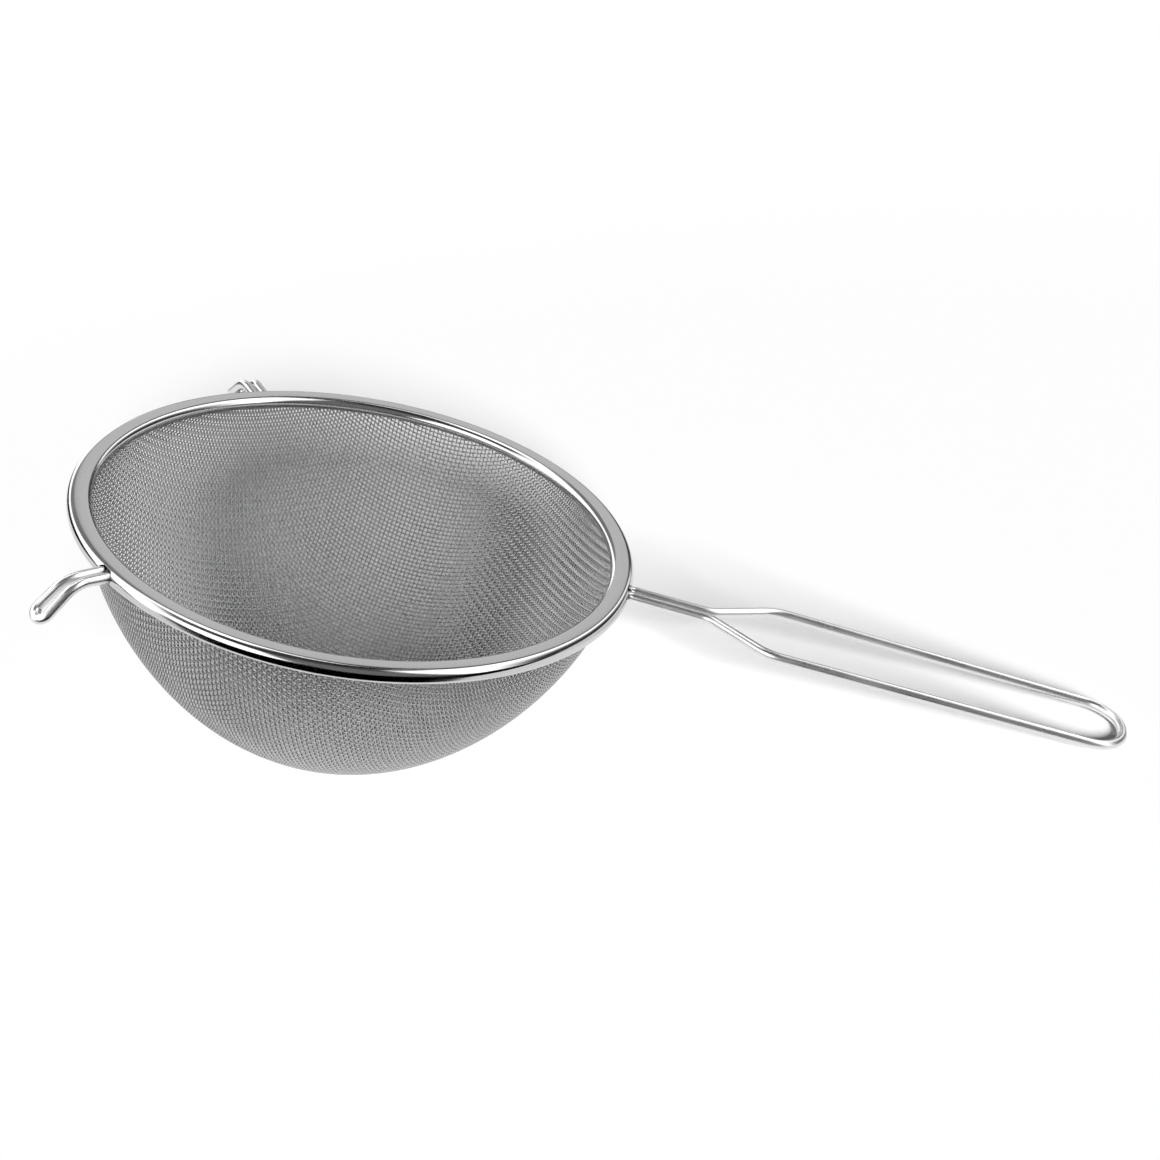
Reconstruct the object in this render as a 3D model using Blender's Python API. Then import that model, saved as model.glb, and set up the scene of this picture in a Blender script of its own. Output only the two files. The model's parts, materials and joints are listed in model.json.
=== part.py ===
"""A mesh strainer: a wire-cloth bowl in a rolled steel rim, with a looped wire handle and two rest hooks.

The pieces are laid out with the top of the rim at z = 0, the bowl below it and the handle along +X.
They hang from one empty, which leans them over as they rest on a table: on the bowl and on the handle's end.
"""

import math

import bmesh
import bpy
from mathutils import Matrix, Vector

MM = 0.001

# Rim: one strip of sheet, rolled to a channel that is open towards the bowl
RIM_DIAMETER = 200 * MM
RIM_WIDTH = 8.6 * MM
RIM_SHEET = 0.5 * MM
RIM_NOSE_RADIUS = 2.4 * MM
RIM_NOSE_CURL = math.radians(66)
RIM_TOP_BEND = 2.2 * MM
RIM_FOOT_BEND = 1.4 * MM

# Core hoop inside the rim, which stiffens it and carries the handle and the hooks
HOOP_WIRE = 3.4 * MM

# Bowl of wire cloth, pressed to a deep round shape under a short straight collar
CLOTH_THICKNESS = 1.1 * MM
BOWL_COLLAR = 4.2 * MM
BOWL_DEPTH = 95 * MM
BOWL_SIDE_POWER = 1.52

# Openings of the cloth, a coarse stand-in for the weave: half of it is open, as against 44% of the weave
GRID_PITCH = 24 * MM
GRID_OPENING = 17.5 * MM
GRID_TURN = math.radians(-5.25)
GRID_TOP_BAND = 6.5 * MM

# Handle: one wire bent to a long loop, its two legs side by side at the neck
HANDLE_WIRE = 3.6 * MM
HANDLE_LENGTH = 179 * MM
NECK_LENGTH = 29 * MM
NECK_SPLIT = 0.4 * MM
FLARE_LENGTH = 22.5 * MM
GRIP_WIDTH = 34.8 * MM
TIP_WIDTH = 31 * MM
FORK_BEND = 10 * MM
GRIP_BEND = 16 * MM
TIP_BEND = 13 * MM
HANDLE_DROOP = math.radians(0.9)

# Rest hooks: two narrow wire loops, level at the rim, then leaning down and opening a little
HOOK_WIRE = 3.6 * MM
HOOK_ROOT_SPLIT = 0.6 * MM
HOOK_TIP_SPLIT = 2.6 * MM
HOOK_AZIMUTH = math.radians(128.8)
HOOK_LEVEL = 7 * MM
HOOK_BEND = 11 * MM
HOOK_LEAN = math.radians(44)
HOOK_TIP_LENGTH = 8 * MM

# Fits
SEAT_GAP = 0.3 * MM
SLOT_ROOF = 0.05 * MM
CUT_MARGIN = 1.5 * MM

# Smoothness of the solids
RING_STEPS = 72
BOWL_STEPS = 12
HOOP_SIDES = 10
WIRE_SIDES = 12
WIRE_BEND_STEP = math.radians(15)
SHEET_BEND_STEP = math.radians(30)
HOOK_TIP_STEPS = 8
SHARP_ANGLE = math.radians(35)
MERGE_DISTANCE = 0.005 * MM
MERIDIAN_STEPS = 200

# Sums
ARC_SHARE = 0.49
STEP_SLACK = 0.01
HALVINGS = 50

RIM_RADIUS = RIM_DIAMETER / 2
RIM_HEIGHT = HOOP_WIRE + 2 * (RIM_SHEET + SEAT_GAP)
NOSE_CENTRE_RADIUS = RIM_RADIUS - RIM_WIDTH + RIM_NOSE_RADIUS
LIP_EDGE_RADIUS = NOSE_CENTRE_RADIUS - (RIM_NOSE_RADIUS - RIM_SHEET) * math.cos(RIM_NOSE_CURL)
CLOTH_INNER_RADIUS = LIP_EDGE_RADIUS + SEAT_GAP
CLOTH_RADIUS = CLOTH_INNER_RADIUS + CLOTH_THICKNESS
CLOTH_TOP = -(RIM_SHEET + SEAT_GAP)
HOOP_RADIUS = CLOTH_RADIUS + SEAT_GAP + HOOP_WIRE / 2
HOOP_OUTER_RADIUS = HOOP_RADIUS + HOOP_WIRE / 2
WIRE_END_RADIUS = HOOP_OUTER_RADIUS + SEAT_GAP


def clear_scene():
    """Removes whatever the file holds, so that only the strainer is left."""
    for thing in list(bpy.data.objects):
        bpy.data.objects.remove(thing)


def finish(name, colour, roughness):
    """A metal finish of one colour."""
    metal = bpy.data.materials.new(name)
    metal.use_nodes = True
    shader = metal.node_tree.nodes["Principled BSDF"]
    shader.inputs["Base Color"].default_value = (*colour, 1)
    shader.inputs["Roughness"].default_value = roughness
    shader.inputs["Metallic"].default_value = 1
    return metal


def bent(corners, bends, bend_step):
    """A line through corners in a plane, with an arc of the given radius at each inner corner.

    The arc touches both straights at radius * tan(turn / 2) from the corner. It takes up at most
    ARC_SHARE of a straight, and is made smaller where that is too short for it.
    """
    line = [Vector(corners[0])]
    for before, corner, after, radius in zip(corners, corners[1:], corners[2:], bends):
        corner = Vector(corner)
        incoming = corner - Vector(before)
        outgoing = Vector(after) - corner
        turn = incoming.angle_signed(outgoing)
        reach = radius * math.tan(abs(turn) / 2)
        reach = min(reach, incoming.length * ARC_SHARE, outgoing.length * ARC_SHARE)
        radius = reach / math.tan(abs(turn) / 2)
        start = corner - incoming.normalized() * reach
        side = -1 if turn > 0 else 1
        normal = Vector((-incoming.y, incoming.x)).normalized() * side
        centre = start + normal * radius
        steps = max(2, math.ceil(abs(turn) / bend_step - STEP_SLACK))
        for step in range(steps + 1):
            angle = abs(turn) * side * step / steps
            arm = -normal * radius
            arm.rotate(Matrix.Rotation(angle, 2))
            line.append(centre + arm)
    line.append(Vector(corners[-1]))
    return line


def left_of(line, distance):
    """The line moved to its left by a distance, each point along the bisector of its two straights."""
    moved = []
    for index, point in enumerate(line):
        before = line[max(index - 1, 0)]
        after = line[min(index + 1, len(line) - 1)]
        first = (point - before) if index else (after - point)
        second = (after - point) if index < len(line) - 1 else (point - before)
        first_normal = Vector((-first.y, first.x)).normalized()
        second_normal = Vector((-second.y, second.x)).normalized()
        middle = (first_normal + second_normal).normalized()
        moved.append(point + middle * (distance / middle.dot(first_normal)))
    return moved


def placed(thing, metal, pose):
    """Links an object, gives it its finish and hangs it from the empty that sets the pose."""
    thing.data.materials.append(metal)
    thing.parent = pose
    bpy.context.collection.objects.link(thing)
    return thing


def turned(name, outline, closed):
    """A solid turned about Z from an outline of (radius, height) points."""
    shape = bmesh.new()
    points = [shape.verts.new((radius, 0, height)) for radius, height in outline]
    edges = [shape.edges.new(pair) for pair in zip(points, points[1:])]
    if closed:
        edges.append(shape.edges.new((points[-1], points[0])))
    bmesh.ops.spin(
        shape, geom=points + edges, axis=(0, 0, 1), cent=(0, 0, 0),
        angle=math.tau, steps=RING_STEPS, use_merge=True,
    )
    bmesh.ops.remove_doubles(shape, verts=shape.verts, dist=MERGE_DISTANCE)
    bmesh.ops.recalc_face_normals(shape, faces=shape.faces)
    mesh = bpy.data.meshes.new(name)
    shape.to_mesh(mesh)
    shape.free()
    mesh.shade_smooth()
    mesh.set_sharp_from_angle(angle=SHARP_ANGLE)
    return bpy.data.objects.new(name, mesh)


def wire_data(name, points, diameter):
    """A round wire along a line of points, with flat cut ends."""
    wire = bpy.data.curves.new(name, "CURVE")
    wire.dimensions = "3D"
    wire.twist_mode = "Z_UP"
    wire.bevel_depth = diameter / 2
    wire.bevel_resolution = WIRE_SIDES // 2 - 2
    wire.use_fill_caps = True
    run = wire.splines.new("POLY")
    run.points.add(len(points) - 1)
    for stop, point in zip(run.points, points):
        stop.co = (*point, 1)
    run.use_smooth = True
    return wire


def rim_outline():
    """Section of the rolled strip: curled nose, flat top, skirt and foot, as one centre line with a wall."""
    half = RIM_SHEET / 2
    nose_radius = RIM_NOSE_RADIUS - half
    steps = math.ceil((math.pi / 2 + RIM_NOSE_CURL) / SHEET_BEND_STEP - STEP_SLACK)
    nose = []
    for step in range(steps):
        angle = -RIM_NOSE_CURL + (math.pi / 2 + RIM_NOSE_CURL) * step / steps
        arm = Vector((-math.cos(angle), math.sin(angle))) * nose_radius
        nose.append(Vector((NOSE_CENTRE_RADIUS, -RIM_NOSE_RADIUS)) + arm)
    top_and_skirt = bent(
        [
            (NOSE_CENTRE_RADIUS, -half),
            (RIM_RADIUS - half, -half),
            (RIM_RADIUS - half, -RIM_HEIGHT + half),
            (CLOTH_RADIUS + SEAT_GAP, -RIM_HEIGHT + half),
        ],
        [RIM_TOP_BEND - half, RIM_FOOT_BEND - half],
        SHEET_BEND_STEP,
    )
    centre_line = nose + top_and_skirt
    outside = left_of(centre_line, half)
    inside = left_of(centre_line, -half)
    return outside + inside[::-1]


def bowl_outer_line():
    """Outer side of the cloth from its top edge to its lowest point.

    Under the collar it follows (radius / a) ** 2 + (drop / b) ** q = 1, where q is the side power:
    at 2 it is half an ellipse, and below 2 the sides close in sooner.
    """
    dish = BOWL_DEPTH - BOWL_COLLAR
    line = [(CLOTH_RADIUS, CLOTH_TOP)]
    for step in range(BOWL_STEPS):
        angle = math.pi / 2 * step / BOWL_STEPS
        drop = dish * math.sin(angle) ** (2 / BOWL_SIDE_POWER)
        line.append((CLOTH_RADIUS * math.cos(angle), -BOWL_COLLAR - drop))
    line.append((0, -BOWL_DEPTH))
    return [Vector(point) for point in line]


def bowl_outline():
    """Section of the cloth, from its inner lowest point up, over the top edge and down the outside."""
    outer = bowl_outer_line()
    inner = left_of(outer, -CLOTH_THICKNESS)
    inner[-1] = outer[-1] + Vector((0, CLOTH_THICKNESS))
    return inner[::-1] + outer


def beyond_cloth(point):
    """Below 0 inside the bowl, 0 at the middle of the cloth's thickness and above 0 outside the bowl."""
    half = CLOTH_THICKNESS / 2
    side = math.hypot(point.x, point.y) / (CLOTH_RADIUS - half)
    drop = max(0, -BOWL_COLLAR - point.z) / (BOWL_DEPTH - BOWL_COLLAR - half)
    return side ** 2 + drop ** BOWL_SIDE_POWER - 1


def out_of_cloth(point):
    """Direction square to the cloth, away from the bowl's inside."""
    half = CLOTH_THICKNESS / 2
    across = 2 / (CLOTH_RADIUS - half) ** 2
    depth = BOWL_DEPTH - BOWL_COLLAR - half
    drop = max(0, -BOWL_COLLAR - point.z) / depth
    down = BOWL_SIDE_POWER * drop ** (BOWL_SIDE_POWER - 1) / depth
    return Vector((point.x * across, point.y * across, -down)).normalized()


def grid_place(index):
    """Distance from the grid's middle line: each opening has a line at its middle and one at each edge."""
    part = index % 3
    return index // 3 * GRID_PITCH + (0, GRID_OPENING / 2, GRID_PITCH - GRID_OPENING / 2)[part]


def meridian_points(places):
    """Points (radius, 0, height) of the cloth's middle at distances along it from its lowest point."""
    half = CLOTH_THICKNESS / 2
    depth = BOWL_DEPTH - BOWL_COLLAR - half
    found = []
    travelled = 0
    last = Vector((0, 0, -BOWL_COLLAR - depth))
    for step in range(1, MERIDIAN_STEPS + 1):
        angle = math.pi / 2 * (1 - step / MERIDIAN_STEPS)
        drop = depth * math.sin(angle) ** (2 / BOWL_SIDE_POWER)
        point = Vector(((CLOTH_RADIUS - half) * math.cos(angle), 0, -BOWL_COLLAR - drop))
        length = (point - last).length
        while len(found) < len(places) and places[len(found)] <= travelled + length:
            found.append(last.lerp(point, (places[len(found)] - travelled) / length))
        travelled += length
        last = point
    return found


def fourth_corner(first, second, first_side, second_side, behind):
    """The point of the cloth at the given distances from two points, on the side away from a third.

    Such points lie on a circle round the line between the two. It is followed from the bowl's
    inside outwards to where it meets the cloth.
    """
    line = second - first
    share = (first_side ** 2 - second_side ** 2 + line.length_squared) / (2 * line.length_squared)
    middle = first + line * share
    radius = math.sqrt(max(0, first_side ** 2 - (line * share).length_squared))
    outward = out_of_cloth(middle)
    outward = (outward - line * (outward.dot(line) / line.length_squared)).normalized()
    ahead = line.cross(outward).normalized()
    if ahead.dot(middle - behind) < 0:
        ahead = -ahead
    low, high = -math.pi / 2, math.pi / 2
    for _ in range(HALVINGS):
        angle = (low + high) / 2
        if beyond_cloth(middle + (ahead * math.cos(angle) + outward * math.sin(angle)) * radius) > 0:
            high = angle
        else:
            low = angle
    return middle + (ahead * math.cos(high) + outward * math.sin(high)) * radius


def quarter_grid():
    """Crossings of a flat square grid pressed into the bowl without stretching, for one quarter of it.

    The two lines through the lowest point keep to meridians. Each other crossing follows from the
    three before it, because the sides of every cell keep their length.
    """
    reach = 1
    while grid_place(reach) < BOWL_DEPTH + CLOTH_RADIUS:
        reach += 1
    places = [grid_place(index) for index in range(reach)]
    first_line = meridian_points(places)
    grid = {(i, 0): point for i, point in enumerate(first_line)}
    grid.update({(0, j): Vector((0, point.x, point.z)) for j, point in enumerate(first_line)})
    for i in range(1, len(first_line)):
        for j in range(1, len(first_line)):
            corners = [grid.get(key) for key in ((i - 1, j), (i, j - 1), (i - 1, j - 1))]
            if None in corners:
                continue
            point = fourth_corner(
                corners[0], corners[1], places[i] - places[i - 1], places[j] - places[j - 1], corners[2],
            )
            if point.z < -GRID_TOP_BAND:
                grid[i, j] = point
    return {key: point for key, point in grid.items() if point.z < -GRID_TOP_BAND}


def whole_grid():
    """The quarter grid mirrored to all four quarters and turned to the weave's own direction."""
    turn = Matrix.Rotation(GRID_TURN, 3, "Z")
    grid = {}
    for (i, j), point in quarter_grid().items():
        for east in (1, -1):
            for north in (1, -1):
                grid[east * i, north * j] = turn @ Vector((point.x * east, point.y * north, point.z))
    return grid


def weave_cutter(pose):
    """A block through the cloth at each opening of the grid, all in one object."""
    grid = whole_grid()
    reach = max(i for i, _ in grid) // 3
    half = CLOTH_THICKNESS / 2 + CUT_MARGIN
    ring = ((0, 0), (1, 0), (2, 0), (2, 1), (2, 2), (1, 2), (0, 2), (0, 1))
    shape = bmesh.new()
    for across in range(-reach, reach + 1):
        for along in range(-reach, reach + 1):
            keys = [(3 * across + i, 3 * along + j) for i in (-1, 0, 1) for j in (-1, 0, 1)]
            if not all(key in grid for key in keys):
                continue
            sides = []
            for shift in (half, -half):
                sides.append([shape.verts.new(grid[key] + out_of_cloth(grid[key]) * shift) for key in keys])
            for corners in sides:
                border = [corners[3 * i + j] for i, j in ring]
                for first, second in zip(border, border[1:] + border[:1]):
                    shape.faces.new((corners[4], first, second))
            outer, inner = ([side[3 * i + j] for i, j in ring] for side in sides)
            for step in range(len(ring)):
                after = (step + 1) % len(ring)
                shape.faces.new((outer[step], outer[after], inner[after]))
                shape.faces.new((outer[step], inner[after], inner[step]))
    bmesh.ops.recalc_face_normals(shape, faces=shape.faces)
    mesh = bpy.data.meshes.new("weave_cutter")
    shape.to_mesh(mesh)
    shape.free()
    cutter = bpy.data.objects.new("weave_cutter", mesh)
    cutter.display_type = "WIRE"
    cutter.hide_render = True
    cutter.parent = pose
    bpy.context.collection.objects.link(cutter)
    return cutter


def hoop_outline():
    """Round section of the core hoop, half way up the rim's hollow."""
    height = -RIM_HEIGHT / 2
    return [
        (
            HOOP_RADIUS + HOOP_WIRE / 2 * math.cos(math.tau * side / HOOP_SIDES),
            height - HOOP_WIRE / 2 * math.sin(math.tau * side / HOOP_SIDES),
        )
        for side in range(HOOP_SIDES)
    ]


def root_height(diameter):
    """Height of a wire's centre where it lies just under the rim's top sheet."""
    return -(RIM_SHEET + SEAT_GAP + diameter / 2)


def handle_line():
    """The handle wire's centre line: out along one leg, round the tip and back along the other."""
    neck = (HANDLE_WIRE + NECK_SPLIT) / 2
    grip = (GRIP_WIDTH - HANDLE_WIRE) / 2
    end = (TIP_WIDTH - HANDLE_WIRE) / 2
    fork = RIM_RADIUS + NECK_LENGTH
    tip = RIM_RADIUS + HANDLE_LENGTH - HANDLE_WIRE / 2
    leg = [(WIRE_END_RADIUS, neck), (fork, neck), (fork + FLARE_LENGTH, grip), (tip, end)]
    mirrored = [(x, -y) for x, y in reversed(leg)]
    bends = [FORK_BEND, GRIP_BEND, TIP_BEND]
    plan = bent(leg + mirrored, bends + bends[::-1], WIRE_BEND_STEP)
    drop = math.tan(HANDLE_DROOP)
    return [(x, y, root_height(HANDLE_WIRE) - (x - RIM_RADIUS) * drop) for x, y in plan]


def hook_line():
    """A hook's centre line for a hook along +X: out, down, round the tip and back beside itself.

    The two legs run side by side to the end of the level part, and from there open evenly to the tip.
    """
    level_end = RIM_RADIUS + HOOK_LEVEL
    reach = HOOK_BEND * math.tan(HOOK_LEAN / 2)
    corner = level_end + reach
    height = root_height(HOOK_WIRE)
    lean = Vector((math.cos(HOOK_LEAN), -math.sin(HOOK_LEAN)))
    end = Vector((corner, height)) + lean * (reach + HOOK_TIP_LENGTH)
    side_view = bent([(WIRE_END_RADIUS, height), (corner, height), end], [HOOK_BEND], WIRE_BEND_STEP)
    root_half = (HOOK_WIRE + HOOK_ROOT_SPLIT) / 2
    tip_half = (HOOK_WIRE + HOOK_TIP_SPLIT) / 2
    leg = []
    for x, z in side_view:
        opened = max(0, (x - level_end) / (end.x - level_end))
        leg.append((x, root_half + (tip_half - root_half) * opened, z))
    turn = []
    for step in range(1, HOOK_TIP_STEPS):
        angle = math.pi * step / HOOK_TIP_STEPS
        x, z = end + lean * (tip_half * math.sin(angle))
        turn.append((x, tip_half * math.cos(angle), z))
    return leg + turn + [(x, -y, z) for x, y, z in reversed(leg)]


def slot_cutter(name, diameter, split, azimuth, pose):
    """A block that opens the rim's skirt and foot where a pair of wires goes in."""
    inner = HOOP_OUTER_RADIUS
    outer = RIM_RADIUS + CUT_MARGIN
    half_width = diameter + split / 2 + SEAT_GAP
    top = -(RIM_SHEET + SLOT_ROOF)
    bottom = -(RIM_HEIGHT + diameter)
    shape = bmesh.new()
    bmesh.ops.create_cube(shape, size=1)
    for corner in shape.verts:
        corner.co.x = outer if corner.co.x > 0 else inner
        corner.co.y = half_width if corner.co.y > 0 else -half_width
        corner.co.z = top if corner.co.z > 0 else bottom
    mesh = bpy.data.meshes.new(name)
    shape.to_mesh(mesh)
    shape.free()
    cutter = bpy.data.objects.new(name, mesh)
    cutter.rotation_euler.z = azimuth
    cutter.display_type = "WIRE"
    cutter.hide_render = True
    cutter.parent = pose
    bpy.context.collection.objects.link(cutter)
    return cutter


def resting_lean():
    """The lean about Y at which the bowl and the handle's end are equally low.

    Leaned by an angle, a point lies x * sin(angle) - z * cos(angle) below the rim's centre.
    """
    bowl = bowl_outer_line()
    handle = handle_line()

    def lowest(points, angle):
        return max(x * math.sin(angle) - z * math.cos(angle) for x, z in points)

    def handle_is_lower(angle):
        wire = lowest([(x, z) for x, _, z in handle], angle) + HANDLE_WIRE / 2
        return wire > lowest(bowl, angle)

    low, high = 0, math.pi / 2
    for _ in range(HALVINGS):
        middle = (low + high) / 2
        if handle_is_lower(middle):
            high = middle
        else:
            low = middle
    return high


def settle(pose, pieces):
    """Moves the empty until the pieces stand on z = 0 with their box centred over the origin."""
    bpy.context.view_layer.update()
    graph = bpy.context.evaluated_depsgraph_get()
    corners = []
    for piece in pieces:
        shown = piece.evaluated_get(graph)
        mesh = shown.to_mesh()
        corners += [shown.matrix_world @ vertex.co for vertex in mesh.vertices]
        shown.to_mesh_clear()
    xs = [corner.x for corner in corners]
    pose.location.x -= (min(xs) + max(xs)) / 2
    pose.location.z -= min(corner.z for corner in corners)
    bpy.context.view_layer.update()


def build():
    clear_scene()
    pose = bpy.data.objects.new("resting_pose", None)
    pose.rotation_euler.y = resting_lean()
    bpy.context.collection.objects.link(pose)

    polished = finish("polished stainless sheet", (0.62, 0.62, 0.61), 0.16)
    cloth = finish("stainless wire cloth", (0.42, 0.43, 0.43), 0.45)
    drawn = finish("drawn stainless wire", (0.55, 0.55, 0.55), 0.22)
    hidden = finish("plain hoop wire", (0.4, 0.4, 0.4), 0.35)

    rim = placed(turned("rim_band", rim_outline(), closed=True), polished, pose)
    bowl = placed(turned("mesh_bowl", bowl_outline(), closed=False), cloth, pose)
    hoop = placed(turned("core_hoop", hoop_outline(), closed=True), hidden, pose)

    handle_data = wire_data("handle_wire", handle_line(), HANDLE_WIRE)
    handle = placed(bpy.data.objects.new("handle_wire", handle_data), drawn, pose)
    cutters = [slot_cutter("handle_slot_cutter", HANDLE_WIRE, NECK_SPLIT, 0, pose)]

    # Left and right are as seen by someone who holds the handle
    hooks = []
    for name, azimuth in (("rest_hook_right", HOOK_AZIMUTH), ("rest_hook_left", -HOOK_AZIMUTH)):
        hook_data = wire_data(name, hook_line(), HOOK_WIRE)
        hook = placed(bpy.data.objects.new(name, hook_data), drawn, pose)
        hook.rotation_euler.z = azimuth
        hooks.append(hook)
        cutters.append(slot_cutter(name + "_slot_cutter", HOOK_WIRE, HOOK_ROOT_SPLIT, azimuth, pose))

    cuts = [(rim, cutter) for cutter in cutters] + [(bowl, weave_cutter(pose))]
    for piece, cutter in cuts:
        cut = piece.modifiers.new(cutter.name, "BOOLEAN")
        cut.operation = "DIFFERENCE"
        cut.solver = "EXACT"
        cut.object = cutter

    settle(pose, [rim, bowl, hoop, handle, *hooks])


build()
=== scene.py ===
"""Looks of the mesh strainer: woven wire bowl, rolled rim, looped handle and rest hooks, in a white studio.

Sizes are worked out with the rim's top at z = 0, the bowl below it and the handle along +X. The function
resting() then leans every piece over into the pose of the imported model.
"""

import json
import math

import bpy
import numpy as np
from mathutils import Euler, Matrix, Vector

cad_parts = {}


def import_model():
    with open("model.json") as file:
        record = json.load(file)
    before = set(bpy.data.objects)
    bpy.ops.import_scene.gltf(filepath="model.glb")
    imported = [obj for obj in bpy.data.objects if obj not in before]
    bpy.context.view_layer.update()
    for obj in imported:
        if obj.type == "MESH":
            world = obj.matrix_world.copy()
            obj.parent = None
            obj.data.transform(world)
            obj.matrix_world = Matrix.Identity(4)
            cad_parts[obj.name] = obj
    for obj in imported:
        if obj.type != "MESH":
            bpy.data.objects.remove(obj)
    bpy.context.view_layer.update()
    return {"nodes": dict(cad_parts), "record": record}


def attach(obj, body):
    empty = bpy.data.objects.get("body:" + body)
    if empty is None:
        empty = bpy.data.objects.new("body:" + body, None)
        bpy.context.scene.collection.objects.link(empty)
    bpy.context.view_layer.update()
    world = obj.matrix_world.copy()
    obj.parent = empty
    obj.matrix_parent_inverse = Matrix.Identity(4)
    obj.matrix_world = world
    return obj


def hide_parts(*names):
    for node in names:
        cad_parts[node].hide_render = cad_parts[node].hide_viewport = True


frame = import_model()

MM = 0.001

# Rim, one rolled strip
RIM_RADIUS = 100 * MM
RIM_WIDTH = 8.6 * MM
RIM_SHEET = 0.5 * MM
RIM_HEIGHT = 5.0 * MM
NOSE_RADIUS = 2.4 * MM
NOSE_CURL = math.radians(66)
CROWN_DROP = 0.12 * MM
CROWN_MARGIN = 0.6 * MM
OUTER_BEND = 2.4 * MM
FOOT_BEND = 1.5 * MM
FOOT_RADIUS = 94.73 * MM
SLOT_CLEARANCE = 0.22 * MM

# Wire cloth: plain weave, pressed from a flat disc
CLOTH_WIRE = 0.55 * MM
CLOTH_PITCH = 1.65 * MM
CLOTH_TURN = math.radians(-5.25)
CLOTH_RADIUS = 93.88 * MM
COLLAR = 4.2 * MM
DISH_DEPTH = 90.25 * MM
DISH_POWER = 1.52
CLOTH_END = 1.2 * MM

# Handle and hooks
WIRE = 3.56 * MM
WIRE_ROOT = 98.1 * MM
WIRE_LEVEL = 2.6 * MM
WIRE_TAPER_SHARE = 0.12
NECK_LENGTH = 29 * MM
NECK_SPLIT = 0.4 * MM
FLARE_LENGTH = 22.5 * MM
GRIP_WIDTH = 34.8 * MM
TIP_WIDTH = 31 * MM
HANDLE_LENGTH = 178.93 * MM
FORK_BEND = 10 * MM
GRIP_BEND = 16 * MM
TIP_BEND = 13 * MM
HANDLE_DROOP = math.radians(0.9)
HOOK_AZIMUTH = math.radians(128.8)
HOOK_ROOT_SPLIT = 0.6 * MM
HOOK_TIP_SPLIT = 2.6 * MM
HOOK_LEVEL = 7 * MM
HOOK_BEND = 11 * MM
HOOK_LEAN = math.radians(44)
HOOK_TIP_LENGTH = 7.98 * MM

# Working out the pressed net, with shares of the net's step
NET_PARTS = 4
NEWTON_ROUNDS = 8
NUDGE_SHARE = 0.001
MISS_SHARE = 0.02
LEAST_SLOPE = 1e-12
MOST_TURN = math.radians(11.5)

# Fineness of the meshes
DISH_SAMPLES = 4000
NORMAL_STEP = 0.05 * MM
CLOTH_FACETS = 6
CLOTH_PIECES = ("left", "middle", "right")
WIRE_FACETS = 32
WIRE_BEND_STEP = math.radians(4)
HANDLE_STEP = 4 * MM
HOOK_STEP = 2 * MM
HOOK_TURN_POINTS = 31
BEND_SHARE = 0.49
NOSE_POINTS = 22
CROWN_STEPS = 8
RIM_BEND_STEP = math.radians(7.5)
RIM_STEP = 0.45 * MM
RIM_TURN_STEP = math.radians(1)
RIM_CREASE = math.radians(40)
SLOT_ZONE = 7.5 * MM
SLOT_CELLS = 48

# Studio, in metres and degrees. A level of 1 is white
VIEW_BEARING = -70
TABLE_REACH = 3.0
TABLE_FRONT = 0.12
TABLE_EDGE_FADE = (TABLE_FRONT - 0.05, TABLE_FRONT - 0.005)
TABLE_FAR_FADE = (0.45, 0.8)
KEY_ELEVATION = 22
KEY_WIDTH = 14
KEY_LEVEL = 1.03
FILL_LEVEL = 0.01
ROOM_LEVEL = 0.06

# The room that the metal mirrors, painted in turn: bearing, elevation, half-width, soft edge and level
SURROUNDINGS = {
    "soft box on the left": (165, 20, 45, 10, 2.0),
    "soft box on the right": (20, 15, 45, 5, 2.2),
    "card overhead": (100, 70, 15, 5, 2.2),
    "wall behind": (95, 25, 12, 5, 0.75),
    "gap beside the wall": (120, 45, 15, 5, 0.25),
    "gap overhead": (35, 70, 10, 5, 0.0),
    "dark room below the table's front": (-100, -30, 50, 5, 0.0),
    "card beside the camera": (-115, 25, 25, 5, 2.2),
    "gap under the left box": (155, -5, 25, 5, 0.0),
    "gap under the right box": (30, -5, 25, 25, 0.05),
    "dark room past the table's right end": (-15, -25, 20, 5, 0.0),
    "dim wall behind the camera": (-60, 25, 25, 10, 0.2),
}

# Camera, from the photograph's outlines: its place, its turn in degrees about X, Y and Z, and its focus
VIEW_PLACE = (131.67 * MM, -584.49 * MM, 360.57 * MM)
VIEW_TURN = (63.678, 6.597, 10.073)
VIEW_FOCUS_PIXELS = 1900
VIEW_PIXELS = 1160
SENSOR_WIDTH = 36

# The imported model's pose, from the mount on the rim's top
rim_mount = frame["record"]["mounts"][0]
rim_normal = np.array(rim_mount["axis"])
LEAN = math.atan2(rim_normal[0], rim_normal[2])
RIM_CENTRE = np.array([rim_mount["pos_m"][0], 0, rim_mount["pos_m"][2]])


def resting(points):
    """Points from the rim's own frame to the resting pose: turned about Y by the lean, then moved."""
    turn = np.array([
        [math.cos(LEAN), 0, math.sin(LEAN)],
        [0, 1, 0],
        [-math.sin(LEAN), 0, math.cos(LEAN)],
    ])
    return points @ turn.T + RIM_CENTRE


def running_length(line):
    """The length of a line up to each of its points: the running sum of the distances between neighbours."""
    return np.concatenate([[0], np.cumsum(np.linalg.norm(np.diff(line, axis=0), axis=1))])


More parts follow.
